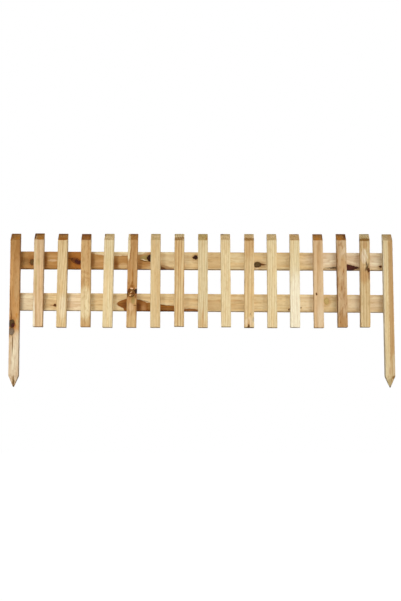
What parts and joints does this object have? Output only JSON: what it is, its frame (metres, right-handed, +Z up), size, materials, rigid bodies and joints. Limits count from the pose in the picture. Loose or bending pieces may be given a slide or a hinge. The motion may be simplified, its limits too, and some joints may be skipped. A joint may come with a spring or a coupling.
{
  "type": "wooden picket border fence",
  "caption": "Low wooden picket border fence panel: slim uprights with slanted heads nailed to flat back rails, with pointed end stakes that push into soil to edge a bed or lawn.",
  "frame": {"origin": "on the left post's outer side face, at mid depth of the post and at ground level, 10 mm below the pickets' feet", "axes": "+X along the fence from the left post to the right post, +Y from the front (pickets) to the back (rails), +Z up"},
  "size_m": [1.1, 0.04, 0.445],
  "materials": {
    "post_timber": "sawn softwood, pressure treated, unpainted",
    "picket_timber": "sawn softwood, pressure treated, unpainted",
    "rail_timber": "sawn softwood, pressure treated, unpainted"
  },
  "bodies": {
    "root": {"left_post": "post_timber", "right_post": "post_timber", "top_rail": "rail_timber", "bottom_rail": "rail_timber", "picket_01": "picket_timber", "picket_02": "picket_timber", "picket_03": "picket_timber", "picket_04": "picket_timber", "picket_05": "picket_timber", "picket_06": "picket_timber", "picket_07": "picket_timber", "picket_08": "picket_timber", "picket_09": "picket_timber", "picket_10": "picket_timber", "picket_11": "picket_timber", "picket_12": "picket_timber", "picket_13": "picket_timber", "picket_14": "picket_timber", "picket_15": "picket_timber"}
  },
  "joints": []
}
